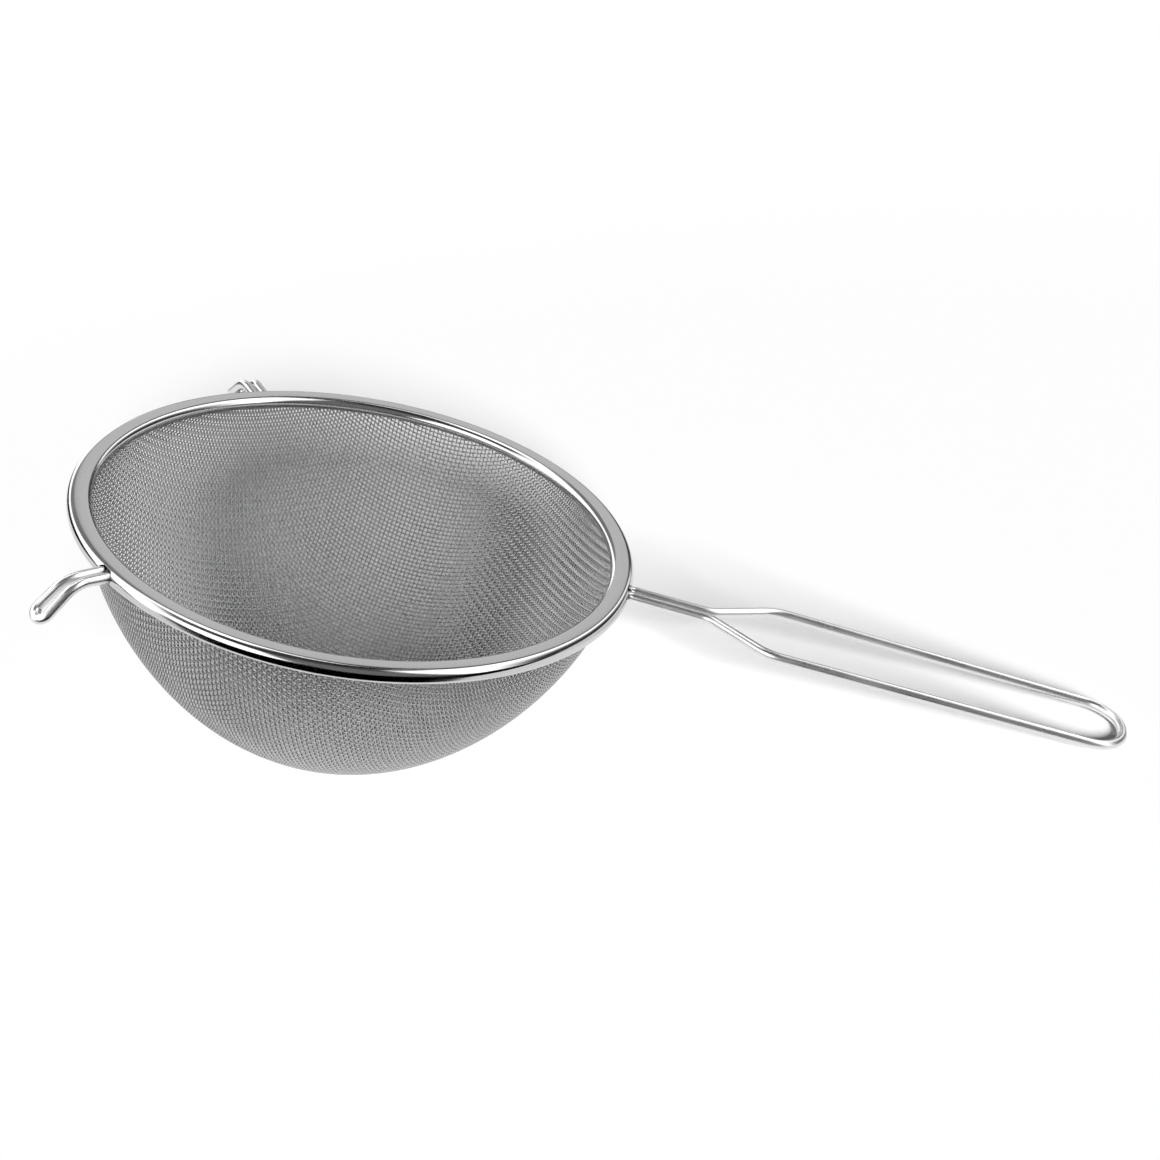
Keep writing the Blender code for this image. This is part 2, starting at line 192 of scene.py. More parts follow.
def mesh_of(name, points, corners, sizes, uv=None):
    """A mesh from points, the corner list of its faces one after another, and the size of each face."""
    mesh = bpy.data.meshes.new(name)
    mesh.vertices.add(len(points))
    mesh.vertices.foreach_set("co", np.ascontiguousarray(points, dtype=np.float32).ravel())
    mesh.loops.add(len(corners))
    mesh.loops.foreach_set("vertex_index", corners.astype(np.int32))
    mesh.polygons.add(len(sizes))
    starts = np.concatenate([[0], np.cumsum(sizes)[:-1]])
    mesh.polygons.foreach_set("loop_start", starts.astype(np.int32))
    mesh.polygons.foreach_set("loop_total", sizes.astype(np.int32))
    if uv is not None:
        layer = mesh.uv_layers.new(name="run")
        layer.data.foreach_set("uv", np.ascontiguousarray(uv[corners], dtype=np.float32).ravel())
    mesh.update(calc_edges=True)
    mesh.validate()
    mesh.shade_smooth()
    return mesh


def piece(name, mesh, material):
    """Links a finished mesh as a piece that rides on the strainer's one body."""
    shown = bpy.data.objects.new(name, mesh)
    bpy.context.scene.collection.objects.link(shown)
    mesh.materials.append(material)
    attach(shown, "root")
    return shown


# Wire cloth

def meridian():
    """The dish's section as running length from the lowest point, radius and height.

    A straight collar stands on the curve (radius / cloth radius)^2 + (drop / depth)^power = 1, which is
    sampled by an angle: radius by its cosine, drop by its sine to the power of 2 / power.
    """
    angle = np.linspace(math.pi / 2, 0, DISH_SAMPLES)
    radius = CLOTH_RADIUS * np.cos(angle)
    height = -COLLAR - DISH_DEPTH * np.sin(angle) ** (2 / DISH_POWER)
    section = np.column_stack([np.append(radius, CLOTH_RADIUS), np.append(height, 0)])
    return running_length(section), section[:, 0], section[:, 1]


ARC, ARC_RADIUS, ARC_HEIGHT = meridian()


def on_dish(arc, azimuth):
    """Points of the dish: its section at a length from the lowest point, turned round Z by the azimuth."""
    radius = np.interp(arc, ARC, ARC_RADIUS)
    height = np.interp(arc, ARC, ARC_HEIGHT)
    return np.stack([radius * np.cos(azimuth), radius * np.sin(azimuth), height], -1)


def misses(arc, azimuth, first, second, step):
    """How much further than one step the dish's points lie from each of their two neighbours."""
    here = on_dish(arc, azimuth)
    return np.linalg.norm(here - first, axis=1) - step, np.linalg.norm(here - second, axis=1) - step


def settled(arc, azimuth, first, second, step):
    """Crossings moved to one step from both neighbours, and which of them got there on the dish.

    Newton's method: each round takes the slopes of both misses along the arc and round the dish from a
    small nudge, and moves by the solution of the two linear equations, no more than a step at a time.
    """
    nudge = step * NUDGE_SHARE
    for _ in range(NEWTON_ROUNDS):
        turn = nudge / np.maximum(np.interp(arc, ARC, ARC_RADIUS), step)
        miss_1, miss_2 = misses(arc, azimuth, first, second, step)
        arc_1, arc_2 = misses(arc + nudge, azimuth, first, second, step)
        turn_1, turn_2 = misses(arc, azimuth + turn, first, second, step)
        arc_slope_1, turn_slope_1 = (arc_1 - miss_1) / nudge, (turn_1 - miss_1) / turn
        arc_slope_2, turn_slope_2 = (arc_2 - miss_2) / nudge, (turn_2 - miss_2) / turn
        whole = arc_slope_1 * turn_slope_2 - turn_slope_1 * arc_slope_2
        whole = np.where(np.abs(whole) < LEAST_SLOPE, LEAST_SLOPE, whole)
        arc_move = (turn_slope_1 * miss_2 - turn_slope_2 * miss_1) / whole
        turn_move = (arc_slope_2 * miss_1 - arc_slope_1 * miss_2) / whole
        arc = arc + np.clip(arc_move, -step, step)
        azimuth = azimuth + np.clip(turn_move, -MOST_TURN, MOST_TURN)
    miss_1, miss_2 = misses(arc, azimuth, first, second, step)
    good = (np.abs(miss_1) + np.abs(miss_2) < step * MISS_SHARE) & (arc < ARC[-1] + 2 * step)
    return arc, azimuth, good


def before(row, column):
    """The places of the crossings before: a step back along the first wire, along the second, and both."""
    return (row - 1, column), (row, column - 1), (row - 1, column - 1)


def pressed_net(step, count):
    """Where the crossings of a flat square net end up when it is pressed into the dish without stretching.

    Each crossing lies one step, along the two wires, from the two crossings before it. The two wires
    through the lowest point keep to meridians. A whole diagonal of crossings is solved at a time, from
    a first guess that closes each square as a flat parallelogram. Returns arc length and azimuth for
    one quarter of the net.
    """
    arc = np.full((count + 1, count + 1), np.nan)
    azimuth = np.full((count + 1, count + 1), np.nan)
    arc[:, 0] = np.arange(count + 1) * step
    arc[0, :] = arc[:, 0]
    azimuth[:, 0] = 0
    azimuth[0, :] = math.pi / 2
    for diagonal in range(2, 2 * count + 1):
        row = np.arange(max(1, diagonal - count), min(count, diagonal - 1) + 1)
        column = diagonal - row
        known = np.isfinite(sum(arc[place] for place in before(row, column)))
        if not known.any():
            break
        row, column = row[known], column[known]
        beside, below, behind = before(row, column)
        first = on_dish(arc[beside], azimuth[beside])
        second = on_dish(arc[below], azimuth[below])
        guess = first + second - on_dish(arc[behind], azimuth[behind])
        around = np.arctan2(guess[:, 1], guess[:, 0])
        along = arc[beside] + arc[below] - arc[behind]
        along, around, good = settled(along, around, first, second, step)
        arc[row[good], column[good]] = along[good]
        azimuth[row[good], column[good]] = around[good]
    return arc, azimuth


def whole_net():
    """The quarter net mirrored to all four: line numbers, points, normals and which points lie below the rim.

    A mirrored crossing keeps its length along the dish, and its azimuth's cosine or sine changes sign. A
    normal is the level direction round the dish crossed with the direction up its section.
    """
    reach = int(ARC[-1] / CLOTH_PITCH) * NET_PARTS + NET_PARTS
    arc, azimuth = pressed_net(CLOTH_PITCH / NET_PARTS, reach)
    index = np.arange(-reach, reach + 1)
    row, column = np.meshgrid(index, index, indexing="ij")
    arc = arc[np.abs(row), np.abs(column)]
    azimuth = azimuth[np.abs(row), np.abs(column)]
    east, north = np.cos(azimuth), np.sin(azimuth)
    azimuth = np.arctan2(np.where(column < 0, -north, north), np.where(row < 0, -east, east)) + CLOTH_TURN
    points = on_dish(arc, azimuth)
    up_section = on_dish(arc + NORMAL_STEP, azimuth) - on_dish(arc - NORMAL_STEP, azimuth)
    round_dish = np.stack([-np.sin(azimuth), np.cos(azimuth), np.zeros_like(azimuth)], -1)
    normals = np.cross(round_dish, up_section)
    normals /= np.linalg.norm(normals, axis=-1, keepdims=True)
    inside = np.isfinite(arc) & (points[..., 2] < -CLOTH_END)
    return index, points, normals, inside


def cloth_wires(index, points, normals, inside, side):
    """Rings of every wire that runs along the net's first direction, and which of them are joined or used.

    A ring's centre is the net's point plus its normal times half a wire: up where the wire passes over
    a crossing wire, down where it passes under, so over and under alternate both along the wire and
    from one wire to the next. Rings lie a quarter pitch to each side of a crossing. A ring's corner is
    its centre plus the radius times the cosine of the facet's turn across and the sine of it up.
    """
    wires = np.nonzero(index % NET_PARTS == 0)[0]
    rings = np.nonzero(index % 2 != 0)[0]
    grid = np.ix_(rings, wires)
    normal, shown = normals[grid], inside[grid]
    crossing = np.round(index[rings] / NET_PARTS).astype(int)
    wire = index[wires] // NET_PARTS
    over = np.where((crossing[:, None] + wire) % 2 == 0, side, -side)
    centre = points[grid] + normal * (over * CLOTH_WIRE / 2)[..., None]

    # A wire's end has no ring beyond it, so there the net's own direction stands in for the wire's
    along = np.gradient(np.where(shown[..., None], centre, np.nan), axis=0)
    net_way = points[np.ix_(rings + 1, wires)] - points[np.ix_(rings - 1, wires)]
    along = np.where(np.isfinite(along), along, net_way)
    along /= np.linalg.norm(along, axis=-1, keepdims=True)
    across = np.cross(normal, along)
    across /= np.linalg.norm(across, axis=-1, keepdims=True)
    up = np.cross(along, across)
    turn = np.arange(CLOTH_FACETS)[:, None] * math.tau / CLOTH_FACETS
    ring = centre[:, :, None] + CLOTH_WIRE / 2 * (
        np.cos(turn) * across[:, :, None] + np.sin(turn) * up[:, :, None]
    )
    joined = shown[:-1] & shown[1:]
    used = np.zeros_like(shown)
    used[:-1] |= joined
    used[1:] |= joined
    return ring, joined, used


def tubes(ring, joined, used):
    """Faces between neighbouring rings of each wire, and a cap on each free end.

    A used ring's corners are numbered from its own number times the facets. Each side face takes two
    neighbouring corners of one ring and the same two of the next.
    """
    facets = ring.shape[2]
    number = np.full(used.shape, -1)
    number[used] = np.arange(used.sum())
    here, there = number[:-1][joined][:, None] * facets, number[1:][joined][:, None] * facets
    corner = np.arange(facets)
    following = (corner + 1) % facets
    sides = np.stack([here + corner, here + following, there + following, there + corner], -1)
    joined_back = np.zeros_like(used)
    joined_back[1:] = joined
    joined_on = np.zeros_like(used)
    joined_on[:-1] = joined
    starts = number[used & ~joined_back][:, None] * facets + corner[::-1]
    ends = number[used & ~joined_on][:, None] * facets + corner
    corners = np.concatenate([sides.ravel(), starts.ravel(), ends.ravel()])
    sizes = np.concatenate([np.full(sides.size // 4, 4), np.full(len(starts) + len(ends), facets)])
    return ring[used].reshape(-1, 3), corners, sizes


def weave(material):
    """Both sets of wires, each in three pieces side by side, so that no piece is too heavy.

    The crosswise set is the same net with its two directions swapped, over where the first set is under.
    A wire's piece is its running share of the set's rings, times three and rounded down.
    """
    index, points, normals, inside = whole_net()
    sets = {
        "lengthwise_wires": (points, normals, inside, 1),
        "crosswise_wires": (points.transpose(1, 0, 2), normals.transpose(1, 0, 2), inside.T, -1),
    }
    for name, (place, normal, shown, side) in sets.items():
        ring, joined, used = cloth_wires(index, place, normal, shown, side)
        load = np.cumsum(joined.sum(0))
        part = load * len(CLOTH_PIECES) // (load[-1] + 1)
        for number, label in enumerate(CLOTH_PIECES):
            mine = part == number
            tube_points, corners, sizes = tubes(ring[:, mine], joined[:, mine], used[:, mine])
            full_name = name + "_" + label
            mesh = mesh_of(full_name, resting(tube_points), corners, sizes)
            piece(full_name, mesh, material)
    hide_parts("mesh_bowl")


# Bent lines

def bent(corners, bends, step):
    """A line in a plane through corners, with an arc of the given radius at each inner corner.

    An arc touches both straights at radius x tan(turn / 2) from its corner, and its points turn about
    its centre, which lies one radius to the inner side.
    """
    corners = np.array(corners, dtype=float)
    line = [corners[:1]]
    for last, corner, following, radius in zip(corners, corners[1:], corners[2:], bends):
        into, out = corner - last, following - corner
        into_length, out_length = np.linalg.norm(into), np.linalg.norm(out)
        into, out = into / into_length, out / out_length
        turn = math.atan2(into[0] * out[1] - into[1] * out[0], into @ out)
        slant = math.tan(abs(turn) / 2)
        reach = min(radius * slant, into_length * BEND_SHARE, out_length * BEND_SHARE)
        arm = np.array([into[1], -into[0]]) * math.copysign(reach / slant, turn)
        centre = corner - into * reach - arm
        angle = np.linspace(0, turn, max(2, math.ceil(abs(turn) / step)) + 1)[:, None]
        line.append(centre + arm * np.cos(angle) + np.array([-arm[1], arm[0]]) * np.sin(angle))
    return np.concatenate([*line, corners[-1:]])


def spaced(line, step):
    """The same line with points put into each long straight, at its start plus even shares of the way."""
    run = np.diff(line, axis=0)
    counts = np.maximum(1, np.ceil(np.linalg.norm(run, axis=1) / step)).astype(int)
    straight = np.repeat(np.arange(len(run)), counts)
    place = np.arange(counts.sum()) - np.repeat(np.cumsum(counts) - counts, counts) + 1
    share = place / counts[straight]
    return np.concatenate([line[:1], line[straight] + run[straight] * share[:, None]])


def round_wire(name, line, material, replaced):
    """A round wire with slightly tapered ends along a line that doesn't set out upright.

    A corner is the line's point plus the radius times the cosine of the facet's turn to the side and the
    sine of it along the direction square to both. The side starts level and from point to point loses
    only its part along the line, so that the facets don't wind round the wire.
    """
    along = np.gradient(line, axis=0)
    along /= np.linalg.norm(along, axis=1, keepdims=True)
    side = np.cross(along[0], (0, 0, 1))
    sides = []
    for direction in along:
        side = side - direction * (side @ direction)
        side /= np.linalg.norm(side)
        sides.append(side)
    sides = np.array(sides)
    ups = np.cross(along, sides)
    radius = np.full(len(line), WIRE / 2)
    radius[[0, -1]] *= 1 - WIRE_TAPER_SHARE
    turn = np.arange(WIRE_FACETS) * math.tau / WIRE_FACETS
    ring = line[:, None] + radius[:, None, None] * (
        np.cos(turn)[:, None] * sides[:, None] + np.sin(turn)[:, None] * ups[:, None]
    )
    joined = np.ones((len(line) - 1, 1), dtype=bool)
    used = np.ones((len(line), 1), dtype=bool)
    points, corners, sizes = tubes(ring[:, None], joined, used)
    uv = np.column_stack([np.repeat(running_length(line), WIRE_FACETS), np.tile(turn * WIRE / 2, len(line))])
    wire = piece(name, mesh_of(name, resting(points), corners, sizes, uv), material)
    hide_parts(replaced)


def handle_line():
    """The handle wire's centre line: out along one leg, round the tip and back along the other.

    It droops from the rim outward by the run times the tangent of its droop.
    """
    neck = (WIRE + NECK_SPLIT) / 2
    grip = (GRIP_WIDTH - WIRE) / 2
    end = (TIP_WIDTH - WIRE) / 2
    fork = RIM_RADIUS + NECK_LENGTH
    tip = RIM_RADIUS + HANDLE_LENGTH - WIRE / 2
    leg = [(WIRE_ROOT, neck), (fork, neck), (fork + FLARE_LENGTH, grip), (tip, end)]
    mirrored = [(x, -y) for x, y in reversed(leg)]
    bends = [FORK_BEND, GRIP_BEND, TIP_BEND]
    plan = spaced(bent(leg + mirrored, bends + bends[::-1], WIRE_BEND_STEP), HANDLE_STEP)
    drop = (plan[:, 0] - RIM_RADIUS) * math.tan(HANDLE_DROOP)
    return np.column_stack([plan, -WIRE_LEVEL - drop])


def hook_line(azimuth):
    """A hook's centre line: level out of the rim, down, round the tip in a half circle and back the same way.

    On the way down its two legs open evenly from the split at the root to the split at the tip.
    """
    level_end = RIM_RADIUS + HOOK_LEVEL
    reach = HOOK_BEND * math.tan(HOOK_LEAN / 2)
    corner = np.array([level_end + reach, -WIRE_LEVEL])
    down = np.array([math.cos(HOOK_LEAN), -math.sin(HOOK_LEAN)])
    end = corner + down * (reach + HOOK_TIP_LENGTH)
    side_view = spaced(bent([(WIRE_ROOT, -WIRE_LEVEL), corner, end], [HOOK_BEND], WIRE_BEND_STEP), HOOK_STEP)
    root_half = (WIRE + HOOK_ROOT_SPLIT) / 2
    tip_half = (WIRE + HOOK_TIP_SPLIT) / 2
    opened = np.clip((side_view[:, 0] - level_end) / (end[0] - level_end), 0, 1)
    half = root_half + (tip_half - root_half) * opened
    leg = np.column_stack([side_view[:, 0], half, side_view[:, 1]])
    angle = np.linspace(0, math.pi, HOOK_TURN_POINTS + 2)[1:-1, None]
    turn = np.array([end[0], 0, end[1]]) + tip_half * (
        np.cos(angle) * np.array([0, 1, 0]) + np.sin(angle) * np.array([down[0], 0, down[1]])
    )
    line = np.concatenate([leg, turn, leg[::-1] * np.array([1, -1, 1])])
    east, north = math.cos(azimuth), math.sin(azimuth)
    return line @ np.array([[east, north, 0], [-north, east, 0], [0, 0, 1]])


# Rim

def rim_section():
    """The strip's middle line as radius and height: nose, crown, outer bend, skirt, foot bend and foot.

    The nose is an arc about its own centre. From the nose, the crown rises to the flat by
    CROWN_DROP x (1 - share of its width)^2.
    """
    half = RIM_SHEET / 2
    nose_centre = RIM_RADIUS - RIM_WIDTH + NOSE_RADIUS
    crown = RIM_RADIUS - OUTER_BEND - CROWN_MARGIN - nose_centre
    crown_slope = 2 * CROWN_DROP / crown
    curl = np.linspace(-NOSE_CURL, math.pi / 2 - crown_slope, NOSE_POINTS)
    nose = (NOSE_RADIUS - half) * np.column_stack([-np.cos(curl), np.sin(curl)])
    nose += np.array([nose_centre, -half - CROWN_DROP]) - nose[-1]
    share = np.arange(1, CROWN_STEPS + 1) / CROWN_STEPS
    top = np.column_stack([nose_centre + crown * share, -half - CROWN_DROP * (1 - share) ** 2])
    outside = bent(
        [
            (nose_centre, -half),
            (RIM_RADIUS - half, -half),
            (RIM_RADIUS - half, half - RIM_HEIGHT),
            (FOOT_RADIUS, half - RIM_HEIGHT),
        ],
        [OUTER_BEND - half, FOOT_BEND - half],
        RIM_BEND_STEP,
    )
    return np.concatenate([nose, top, spaced(outside[1:], RIM_STEP)])


def slot_columns(share, heights, spacing):
    """Grid lines beside one opening, as azimuths from its middle, for shares of its zone from -1 to 1.

    The opening is two circles round the wires, joined below by straight walls: its half width is half
    the wires' spacing plus the root of radius^2 - rise^2. The middle half of the lines fills it evenly,
    and the others spread evenly from its edge to the zone's.
    """
    zone = SLOT_ZONE / RIM_RADIUS
    radius = WIRE / 2 + SLOT_CLEARANCE
    rise = np.clip(heights + WIRE_LEVEL, 0, radius)[:, None]
    half_width = (spacing / 2 + np.sqrt(radius ** 2 - rise ** 2)) / RIM_RADIUS
    inner = 2 * share * half_width
    outer = np.sign(share) * (half_width + (2 * np.abs(share) - 1) * (zone - half_width))
    return np.where(np.abs(share) <= 0.5, inner, outer)


def rim_grid(section):
    """The azimuth of every grid line at every point of the section, and which cells the openings take away.

    Round the rim, the zone of an opening and the plain stretch after it take turns. An opening takes the
    middle half of its zone's cells, below its roof and on the outer side of the strip.
    """
    zone = SLOT_ZONE / RIM_RADIUS
    share = np.linspace(-1, 1, SLOT_CELLS + 1)
    middle_half = np.abs(share[:-1] + share[1:]) < 1
    middle = (section[:-1] + section[1:]) / 2
    roof = WIRE / 2 + SLOT_CLEARANCE - WIRE_LEVEL
    pierced = (middle[:, 1] < roof) & (middle[:, 0] > RIM_RADIUS - RIM_WIDTH / 2)
    slots = [
        (0, WIRE + NECK_SPLIT),
        (HOOK_AZIMUTH, WIRE + HOOK_ROOT_SPLIT),
        (math.tau - HOOK_AZIMUTH, WIRE + HOOK_ROOT_SPLIT),
    ]
    columns, cut = [], []
    for (start, spacing), following in zip(slots, [slots[1][0], slots[2][0], math.tau]):
        columns.append(start + slot_columns(share, section[:, 1], spacing))
        cut.append(pierced[:, None] & middle_half)
        stretch = following - start - 2 * zone
        cells = max(2, round(stretch / RIM_TURN_STEP))
        between = start + zone + stretch * np.arange(1, cells) / cells
        columns.append(np.tile(between, (len(section), 1)))
        cut.append(np.zeros((len(section) - 1, cells), dtype=bool))
    return np.concatenate(columns, 1), np.concatenate(cut, 1)


def thickened(name, sheet, wall):
    """A sheet's mesh grown by half a wall to each side, its edges closed and its sharp edges left sharp."""
    draft = bpy.data.objects.new(name + "_draft", sheet)
    bpy.context.scene.collection.objects.link(draft)
    growth = draft.modifiers.new("wall", "SOLIDIFY")
    growth.thickness = wall
    growth.offset = 0
    growth.use_even_offset = True
    graph = bpy.context.evaluated_depsgraph_get()
    solid = bpy.data.meshes.new_from_object(draft.evaluated_get(graph))
    bpy.data.objects.remove(draft)
    solid.name = name
    solid.set_sharp_from_angle(angle=RIM_CREASE)
    return solid


def rim_piece(material):
    """The rolled strip: its section carried round Z, as (radius x cosine, radius x sine, height)."""
    section = rim_section()
    azimuth, cut = rim_grid(section)
    count = azimuth.shape[1]
    radius, height = section[:, :1], section[:, 1:]
    points = np.stack(np.broadcast_arrays(radius * np.cos(azimuth), radius * np.sin(azimuth), height), -1)
    rows = np.arange(len(section) - 1)[:, None] * count
    here = np.arange(count)
    there = (here + 1) % count
    quads = np.stack([rows + here, rows + there, rows + count + there, rows + count + here], -1)[~cut]
    uv = np.column_stack([(azimuth * RIM_RADIUS).ravel(), np.repeat(running_length(section), count)])
    sheet = mesh_of("rim_sheet", resting(points.reshape(-1, 3)), quads.ravel(), np.full(len(quads), 4), uv)
    rim = piece("rim", thickened("rim", sheet, RIM_SHEET), material)
    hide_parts("rim_band")


# Materials

def colour(code):
    """An sRGB hex colour as linear light."""
    parts = [int(code[start:start + 2], 16) / 255 for start in (1, 3, 5)]
    return [part / 12.92 if part <= 0.04045 else ((part + 0.055) / 1.055) ** 2.4 for part in parts] + [1]


def add(tree, kind, inputs=(), **settings):
    """Adds a node with its settings; inputs is a dictionary of socket name or number to value or output."""
    node = tree.nodes.new(kind)
    for key, value in settings.items():
        setattr(node, key, value)
    for key, value in dict(inputs).items():
        if isinstance(value, bpy.types.NodeSocket):
            tree.links.new(value, node.inputs[key])
        else:
            node.inputs[key].default_value = value
    return node


def smooth_step(tree, value, start, end):
    """0 up to the start, 1 from the end on and a smooth rise between them, as an output of the tree."""
    inputs = {"Value": value, "From Min": start, "From Max": end}
    return add(tree, "ShaderNodeMapRange", inputs, interpolation_type="SMOOTHSTEP").outputs[0]


def blank(name):
    """A new material with an empty node tree, and that tree."""
    material = bpy.data.materials.new(name)
    material.use_nodes = True
    material.node_tree.nodes.clear()
    return material, material.node_tree


def metal(name, low, high, rough_low, rough_high, patch, lines=None):
    """A bare steel.

    low and high are the two tones that a soft patchy noise of the given size mixes, as handling leaves
    it. lines is (spacing, length, depth) of the fine drawing or polishing lines that run along the
    piece's own run, or None where they would be too fine to see.
    """
    material, tree = blank(name)
    place = add(tree, "ShaderNodeTexCoord")
    clouds = add(tree, "ShaderNodeTexNoise", {
        "Vector": place.outputs["Object"], "Scale": 1 / patch, "Detail": 3.0, "Roughness": 0.55,
    })
    tone = add(tree, "ShaderNodeMix", {
        0: clouds.outputs[0], 6: colour(low), 7: colour(high),
    }, data_type="RGBA")
    rough = add(tree, "ShaderNodeMapRange", {
        "Value": clouds.outputs[0],
        "From Min": 0.35, "From Max": 0.65, "To Min": rough_low, "To Max": rough_high,
    })
    shader_inputs = {"Base Color": tone.outputs[2], "Metallic": 1.0, "Roughness": rough.outputs[0]}
    if lines:
        spacing, length, depth = lines
        run = add(tree, "ShaderNodeUVMap", uv_map="run")
        stretch = add(tree, "ShaderNodeMapping", {
            "Vector": run.outputs[0], "Scale": (1 / length, 1 / spacing, 1.0),
        })
        streaks = add(tree, "ShaderNodeTexNoise", {
            "Vector": stretch.outputs[0], "Scale": 1.0, "Detail": 2.0, "Roughness": 0.6,
        })
        bump = add(tree, "ShaderNodeBump", {"Height": streaks.outputs[0], "Strength": 0.5, "Distance": depth})
        shader_inputs["Normal"] = bump.outputs[0]
    shader = add(tree, "ShaderNodeBsdfPrincipled", shader_inputs)
    add(tree, "ShaderNodeOutputMaterial", {"Surface": shader.outputs[0]})
    return material


def rim_steel():
    """Bright-rolled stainless strip, buffed round the rim: nearly a mirror, with faint lines along the ring.

    The lines are drawn coarser than real buffing leaves them, so that they show.
    """
    lines = (0.25 * MM, 30 * MM, 0.004 * MM)
    return metal("buffed stainless strip", "#C5C5C5", "#D1D1D1", 0.10, 0.17, 30 * MM, lines)


def handle_steel():
    """Drawn stainless wire, electropolished: bright and satiny, with soft draw lines along the wire.

    The lines are drawn coarser than a drawing die leaves them, so that they show.
    """
    lines = (0.3 * MM, 20 * MM, 0.004 * MM)
    return metal("drawn stainless wire", "#DADADA", "#E6E6E6", 0.24, 0.34, 20 * MM, lines)


def cloth_steel():
    """Woven stainless wire, as it leaves the loom: duller, with draw lines that are too fine to show."""
    return metal("woven stainless wire", "#AEAEAE", "#BCBCBC", 0.22, 0.32, 25 * MM)


def core_steel():
    """Plain steel core wire, hidden in the rim: dull, with mill scale in patches."""
    return metal("mild steel core wire", "#6E6C68", "#8A8883", 0.40, 0.60, 4 * MM)


# Studio

def toward(bearing, elevation):
    """The unit vector in a direction given in degrees."""
    east, up = math.radians(bearing), math.radians(elevation)
    return (math.cos(up) * math.cos(east), math.cos(up) * math.sin(east), math.sin(up))


def seen_by(tree, *kinds):
    """1 for a ray of one of the kinds and 0 for any other, as an output of the tree: the highest flag."""
    ray = add(tree, "ShaderNodeLightPath")
    seen = ray.outputs[kinds[0]]
    for kind in kinds[1:]:
        seen = add(tree, "ShaderNodeMath", {0: seen, 1: ray.outputs[kind]}, operation="MAXIMUM").outputs[0]
    return seen


def table_laminate():
    """White laminate, matt and even, so that it takes the strainer's shadow softly.

    Far from the strainer and at its front edge it turns plain white to the camera and to what mirrors
    or lets through the view, so that neither the end of its light nor its edge can be seen.
    """
    material, tree = blank("white table laminate")
    place = add(tree, "ShaderNodeTexCoord").outputs["Object"]
    away = add(tree, "ShaderNodeVectorMath", {0: place}, operation="LENGTH")
    front = toward(VIEW_BEARING, 0)
    forward = add(tree, "ShaderNodeVectorMath", {0: place, 1: front}, operation="DOT_PRODUCT")
    fade = add(tree, "ShaderNodeMath", {
        0: smooth_step(tree, away.outputs["Value"], *TABLE_FAR_FADE),
        1: smooth_step(tree, forward.outputs["Value"], *TABLE_EDGE_FADE),
    }, operation="MAXIMUM")
    view = seen_by(tree, "Is Camera Ray", "Is Transmission Ray", "Is Glossy Ray")
    plain = add(tree, "ShaderNodeMath", {0: fade.outputs[0], 1: view}, operation="MULTIPLY")
    lit = add(tree, "ShaderNodeBsdfDiffuse", {"Color": colour("#F9F9F9")})
    white = add(tree, "ShaderNodeEmission", {"Color": colour("#FFFFFF"), "Strength": 1.0})
    shader = add(tree, "ShaderNodeMixShader", {0: plain.outputs[0], 1: lit.outputs[0], 2: white.outputs[0]})
    add(tree, "ShaderNodeOutputMaterial", {"Surface": shader.outputs[0]})
    return material


def studio_table():
    """A white table top, which runs far back and to both sides of the strainer but ends close before it.

    The rim's front then mirrors the dark room past the table's edge. The corners are the front
    direction and the side direction, each times how far the table reaches that way.
    """
    front = np.array(toward(VIEW_BEARING, 0))
    side = np.array([-front[1], front[0], 0])
    points = np.array([
        front * TABLE_FRONT - side * TABLE_REACH,
        front * TABLE_FRONT + side * TABLE_REACH,
        side * TABLE_REACH - front * TABLE_REACH,
        -side * TABLE_REACH - front * TABLE_REACH,
    ])
    mesh = mesh_of("floor", points, np.arange(4), np.array([4]))
    mesh.materials.append(table_laminate())
    floor = bpy.data.objects.new("floor", mesh)
    bpy.context.scene.collection.objects.link(floor)


def round_patch(tree, look, bearing, elevation, half_width, edge):
    """1 near a direction and 0 away from it, by the cosine of the angle to it, as an output of the tree."""
    middle = toward(bearing, elevation)
    nearness = add(tree, "ShaderNodeVectorMath", {0: look, 1: middle}, operation="DOT_PRODUCT")
    outside = math.cos(math.radians(half_width + edge))
    inside = math.cos(math.radians(half_width))
    return smooth_step(tree, nearness.outputs["Value"], outside, inside)


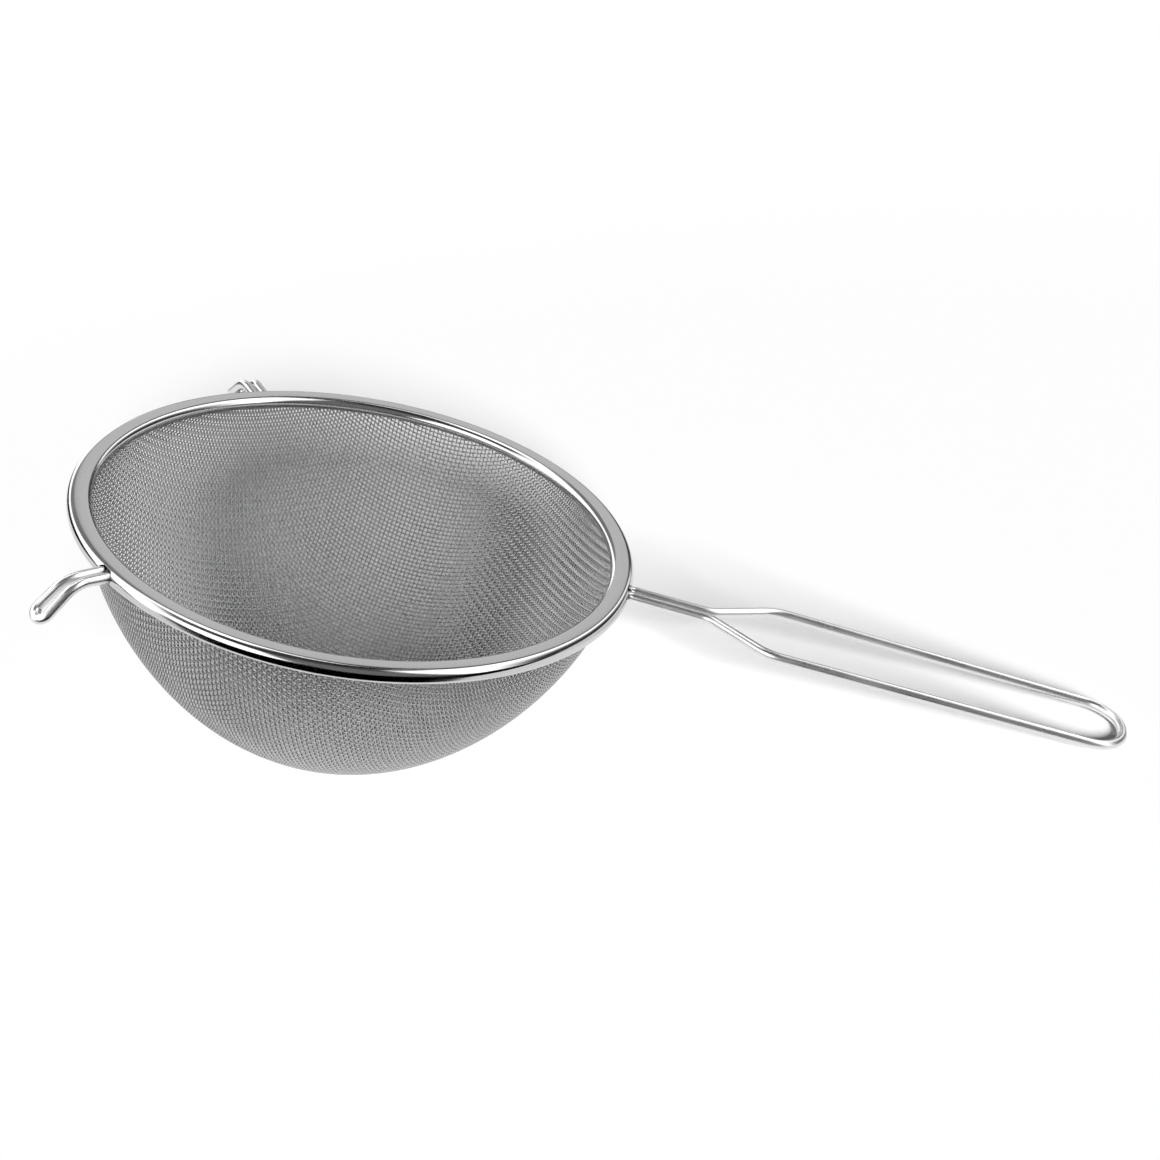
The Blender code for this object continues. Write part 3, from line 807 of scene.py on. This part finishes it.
def studio_world():
    """The room: plain white to the camera, and next to no light of its own on the table and the strainer.

    Metal mirrors a dark room with light boxes and cards in it, because the photograph's metal has the
    dark bands of such a room between its highlights.
    """
    world = bpy.data.worlds.new("studio")
    bpy.context.scene.world = world
    world.use_nodes = True
    tree = world.node_tree
    tree.nodes.clear()
    look = add(tree, "ShaderNodeTexCoord").outputs["Generated"]
    room = ROOM_LEVEL
    for *patch, level in SURROUNDINGS.values():
        shape = round_patch(tree, look, *patch)
        room = add(tree, "ShaderNodeMix", {0: shape, 2: room, 3: level}, data_type="FLOAT").outputs[0]
    mirrored = seen_by(tree, "Is Glossy Ray")
    room = add(tree, "ShaderNodeMix", {0: mirrored, 2: FILL_LEVEL, 3: room}, data_type="FLOAT").outputs[0]
    view = seen_by(tree, "Is Camera Ray", "Is Transmission Ray")
    room = add(tree, "ShaderNodeMix", {0: view, 2: room, 3: 1.0}, data_type="FLOAT").outputs[0]
    light = add(tree, "ShaderNodeBackground", {"Color": colour("#FFFFFF"), "Strength": room})
    add(tree, "ShaderNodeOutputWorld", {"Surface": light.outputs[0]})


def studio_key():
    """A soft, even light from the camera's side, so that the shadow lies behind the strainer.

    A sun of strength pi, over the sine of its elevation, makes a level white surface render as white.
    """
    lamp = bpy.data.lights.new("key", "SUN")
    lamp.angle = math.radians(KEY_WIDTH)
    lamp.energy = KEY_LEVEL * math.pi / math.sin(math.radians(KEY_ELEVATION))
    key = bpy.data.objects.new("key", lamp)
    key.rotation_euler = Vector(toward(VIEW_BEARING, KEY_ELEVATION)).to_track_quat("Z", "Y").to_euler()
    key.visible_glossy = False
    bpy.context.scene.collection.objects.link(key)


def studio_camera():
    """A camera that stands and looks as the photograph's did."""
    data = bpy.data.cameras.new("photo_camera")
    data.sensor_width = SENSOR_WIDTH
    data.lens = VIEW_FOCUS_PIXELS / VIEW_PIXELS * SENSOR_WIDTH
    camera = bpy.data.objects.new("photo_camera", data)
    turn = Euler([math.radians(angle) for angle in VIEW_TURN])
    camera.matrix_world = Matrix.LocRotScale(Vector(VIEW_PLACE), turn, None)
    bpy.context.scene.collection.objects.link(camera)
    bpy.context.scene.camera = camera


weave(cloth_steel())
rim_piece(rim_steel())
wire_steel = handle_steel()
round_wire("handle", handle_line(), wire_steel, "handle_wire")
round_wire("hook_right", hook_line(HOOK_AZIMUTH), wire_steel, "rest_hook_right")
round_wire("hook_left", hook_line(-HOOK_AZIMUTH), wire_steel, "rest_hook_left")
hoop_steel = core_steel()
for place in frame["nodes"]["core_hoop"].material_slots:
    place.material = hoop_steel

studio_table()
studio_world()
studio_key()
studio_camera()
bpy.context.scene.view_settings.view_transform = "Standard"
